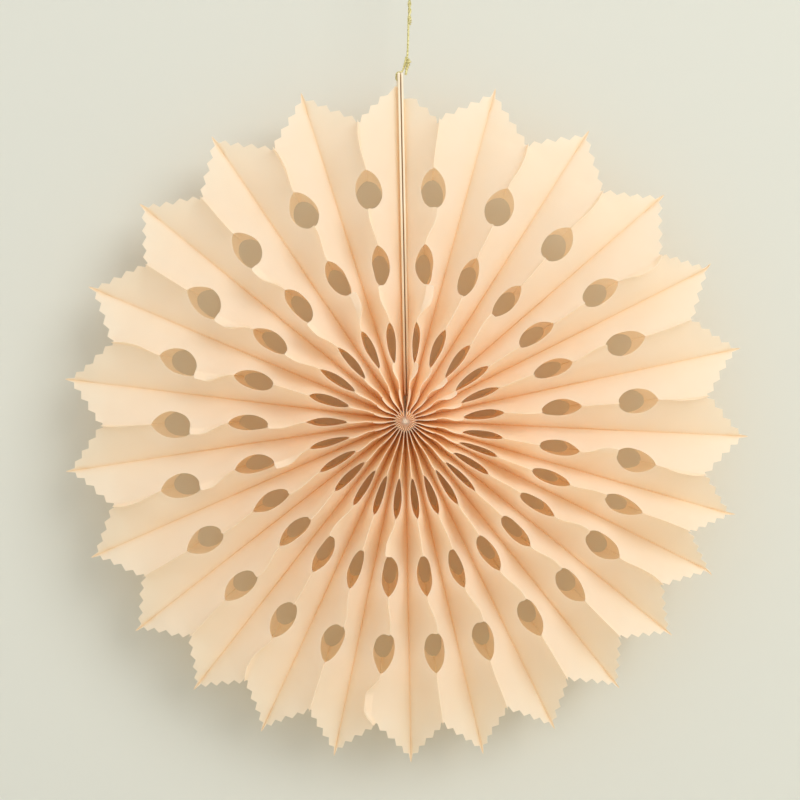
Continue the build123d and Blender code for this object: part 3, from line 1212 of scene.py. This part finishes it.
    def twined(self, start: Vector, end: Vector, phase: float) -> list[Vector]:
        """Control points of one of two threads that wind round each other up a straight line.

        Args:
            start: Foot of the line, in metres.
            end: Top of the line, in metres.
            phase: Where the thread starts on its turn, as a share of it.

        Returns:
            The points, in metres.
        """
        steps = int((end - start).length / MM / self.twine_lay * TURN_POINTS)
        points = []
        for step in range(steps + 1):
            angle = math.tau * (step / TURN_POINTS + phase)
            aside = Vector((math.cos(angle), math.sin(angle), 0.0)) * self.beside * MM
            points.append(start.lerp(end, step / steps) + aside)
        return points

    def build(self, gold: bpy.types.Material) -> list[bpy.types.Object]:
        """Args:
            gold: The yarn's material.

        Returns:
            The finished pieces.
        """
        tree = self.twist_tree()
        shift = Vector
        hole, top, base = self.hole, self.card_top, self.knot_base
        tie = [
            base + shift((-0.9, -0.3, 5.0)) * MM,
            top + shift((3.6, -0.2, 5.0)) * MM,
            top + shift((2.7, -0.2, 1.7)) * MM,
            top + shift((0.8, -0.4, 1.2)) * MM,
            top + shift((-1.1, -0.5, 0.9)) * MM,
            top + shift((-1.6, -0.4, -1.2)) * MM,
            hole + shift((-1.5, 0.0, -0.3)) * MM,
            hole + shift((1.4, 0.0, -0.3)) * MM,
            top + shift((1.5, 0.0, -1.8)) * MM,
            top + shift((1.9, 0.2, 0.9)) * MM,
            top + shift((4.3, 0.3, 5.0)) * MM,
            base + shift((-0.1, 0.2, 5.0)) * MM,
        ]
        wrap, knot_top, upper = self.wrap_base, self.knot_top, self.top_knot_base
        join = wrap + shift((self.beside, 0.0, 4.2)) * MM
        thread = [
            knot_top,
            knot_top + shift((0.55, 0.0, 12.0)) * MM,
            wrap + shift((0.05, 0.0, 2.0)) * MM,
            *self.twined(join, upper, 0.5),
        ]
        back = [join + shift((self.beside + 0.1, 0.0, -1.2)) * MM, *self.twined(join, upper, 0.0)]
        foot, wide, high = self.loop_foot, self.loop_width, self.loop_height
        loop = [
            foot + shift((-self.apart, 0.0, 0.0)) * MM,
            foot + shift((-self.apart, 0.0, 3.5)) * MM,
            shift((-wide / 2, 0.0, -0.5 * high)) * MM,
            shift((-0.42 * wide, 0.0, -0.16 * high)) * MM,
            shift((-0.2 * wide, 0.0, self.strand.diameter / 2)) * MM,
            shift((0.2 * wide, 0.0, self.strand.diameter / 2)) * MM,
            shift((0.44 * wide, 0.0, -0.18 * high)) * MM,
            shift((wide / 2, 0.0, -0.52 * high)) * MM,
            foot + shift((self.apart, 0.0, 4.0)) * MM,
            foot + shift((self.apart, 0.0, 0.0)) * MM,
        ]
        knot = [
            top + shift((4.9, -0.3, -0.4)) * MM,
            top + shift((5.0, -0.3, 1.2)) * MM,
            *self.coil(
                top + shift((5.3, -0.2, 2.6)) * MM, shift((1.9, 0.0, 7.0)),
                low=0.3, high=0.95, turns=3.6,
            ),
        ]
        wraps = self.coil(
            wrap + shift((self.beside, 0.0, 0.2)) * MM, shift((0.0, 0.0, 4.0)),
            low=0.95, high=1.0, turns=3.0,
        )
        top_knot = self.coil(
            upper + shift((0.0, 0.0, 0.6)) * MM, shift((0.0, 0.0, 3.8)),
            low=1.0, high=1.3, turns=3.4,
        )
        strands = {
            "gold_tie": (tie, self.strand, "thread_tie"),
            "gold_return": (back, self.strand, "return_strand"),
            "gold_loop": (loop, self.strand, "hanging_loop"),
            "gold_wrap": (wraps, self.strand, "thread_wrap"),
            "gold_knot": (knot, self.knot, "lower_knot"),
            "gold_top_knot": (top_knot, self.strand, "top_knot"),
        }
        with_pieces = [
            self.wind(name, self.line_of(name, route), yarn, tree, gold, node)
            for name, (route, yarn, node) in strands.items()
        ]
        line = self.line_of("thread", thread)
        cord = self.wind("gold_thread", line, self.thread, tree, gold, "hanging_thread")
        return [cord, *with_pieces]


# --- stage -------------------------------------------------------------------------------------


@dataclass
class Stage:
    """Pale wall behind the fan, pale floor, soft light from the upper right, and the camera.

    Attributes:
        centre: The fan's centre, in metres, as the other lengths.
        wall_gap: Fan's middle plane to the wall.
        wall_half: Half the wall's width, and its height above the centre.
        floor_drop: Centre to the floor.
        wall: Paint of the wall and the floor.
        backdrop: Colour beyond the wall and the floor.
        key_place: The key light, from the centre.
        key_size: Its side.
        key_watts: Its power.
        fill: Strength of the light from all round.
        bounces: How often light may bounce or pass through paper before it is lost.
        camera_place: The camera, from the centre.
        lens: Its focal length in millimetres, on a sensor 36 mm wide.
    """

    centre: Vector
    wall_gap: float = 0.043
    wall_half: float = 0.9
    floor_drop: float = 0.42
    wall: str = "#E4E4DB"
    backdrop: str = "#E9E7DE"
    key_place: tuple[float, float, float] = (1.0, -1.35, 0.75)
    key_size: float = 1.0
    key_watts: float = 13.2
    fill: float = 0.85
    bounces: int = 48
    camera_place: tuple[float, float, float] = (-0.0033, -0.77, 0.0131)
    lens: float = 52.8

    def one_sided(self, name: str, colour: str) -> bpy.types.Material:
        """A matt paint that is seen from its front only, so that it never hides the fan's back."""
        material, tree = new_material(name)
        paint = add_node(
            tree, "ShaderNodeBsdfDiffuse", {"Color": linear(colour), "Roughness": 1.0}
        )
        clear = add_node(tree, "ShaderNodeBsdfTransparent")
        facing = add_node(tree, "ShaderNodeNewGeometry")
        either = add_node(
            tree,
            "ShaderNodeMixShader",
            {0: facing.outputs["Backfacing"], 1: paint.outputs[0], 2: clear.outputs[0]},
        )
        add_node(tree, "ShaderNodeOutputMaterial", {"Surface": either.outputs[0]})
        return material

    def panel(self, name: str, corners: list[Vector], colour: str) -> None:
        """Adds one flat stage panel, its front given by the order of its corners."""
        mesh = bpy.data.meshes.new(name)
        mesh.from_pydata([tuple(corner) for corner in corners], [], [(0, 1, 2, 3)])
        mesh.materials.append(self.one_sided(name.title() + "_Paint", colour))
        panel = bpy.data.objects.new(name, mesh)
        bpy.context.scene.collection.objects.link(panel)

    def room(self) -> None:
        """Adds the wall and the floor."""
        half = self.wall_half
        back, floor = self.wall_gap, self.centre.z - self.floor_drop
        middle = self.centre.x
        self.panel(
            "wall",
            [Vector((middle - half, back, floor)), Vector((middle + half, back, floor)),
             Vector((middle + half, back, self.centre.z + half)),
             Vector((middle - half, back, self.centre.z + half))],
            self.wall,
        )
        self.panel(
            "floor",
            [Vector((middle - half, -2 * half, floor)), Vector((middle + half, -2 * half, floor)),
             Vector((middle + half, back, floor)), Vector((middle - half, back, floor))],
            self.wall,
        )

    def lights(self) -> None:
        """Adds the key light, a square soft light that faces the fan, and the light all round."""
        light = bpy.data.lights.new("key_light", "AREA")
        light.size = self.key_size
        light.energy = self.key_watts
        place = Vector(self.key_place)
        holder = bpy.data.objects.new("key_light", light)
        holder.location = self.centre + place
        holder.rotation_euler = (-place).to_track_quat("-Z", "Y").to_euler()
        bpy.context.scene.collection.objects.link(holder)
        world = bpy.data.worlds.new("Studio")
        world.use_nodes = True
        world.node_tree.nodes.clear()
        seen = add_node(world.node_tree, "ShaderNodeLightPath")
        lit = add_node(
            world.node_tree, "ShaderNodeBackground",
            {"Color": linear("#FFFFFF"), "Strength": self.fill},
        )
        plain = add_node(
            world.node_tree, "ShaderNodeBackground",
            {"Color": linear(self.backdrop), "Strength": 1.0},
        )
        direct = add_node(
            world.node_tree, "ShaderNodeMixShader",
            {0: seen.outputs["Is Camera Ray"], 1: lit.outputs[0], 2: plain.outputs[0]},
        )
        add_node(world.node_tree, "ShaderNodeOutputWorld", {"Surface": direct.outputs[0]})
        scene = bpy.context.scene
        scene.world = world
        scene.view_settings.view_transform = "Standard"
        scene.cycles.max_bounces = self.bounces
        scene.cycles.diffuse_bounces = self.bounces
        scene.cycles.transmission_bounces = self.bounces

    def camera(self) -> None:
        """Adds the camera, level and square to the wall."""
        scene = bpy.context.scene
        camera = bpy.data.cameras.new("camera")
        camera.sensor_width = 36.0
        camera.lens = self.lens
        holder = bpy.data.objects.new("camera", camera)
        holder.location = self.centre + Vector(self.camera_place)
        holder.rotation_euler = (math.pi / 2, 0.0, 0.0)
        scene.collection.objects.link(holder)
        scene.camera = holder

    def build(self) -> None:
        """Builds the stage, the lights and the camera."""
        self.room()
        self.lights()
        self.camera()


def main() -> None:
    """Builds the stage, the leaves, the cards and the thread, and reports them."""
    logging.basicConfig(level=logging.INFO, format="%(name)s: %(message)s")
    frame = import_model()
    centre = Vector(CENTRE) * MM
    Stage(centre).build()
    pieces = PaperLeaves(centre).build(TissuePaper().build())
    pieces += CardSpines(centre).build(frame, CoatedCard().build())
    pieces += HangingThread(centre).build(GoldThread().build())
    for piece in pieces:
        log.info("%s: %d faces", piece.name, len(piece.data.polygons))


if __name__ == "__main__":
    main()
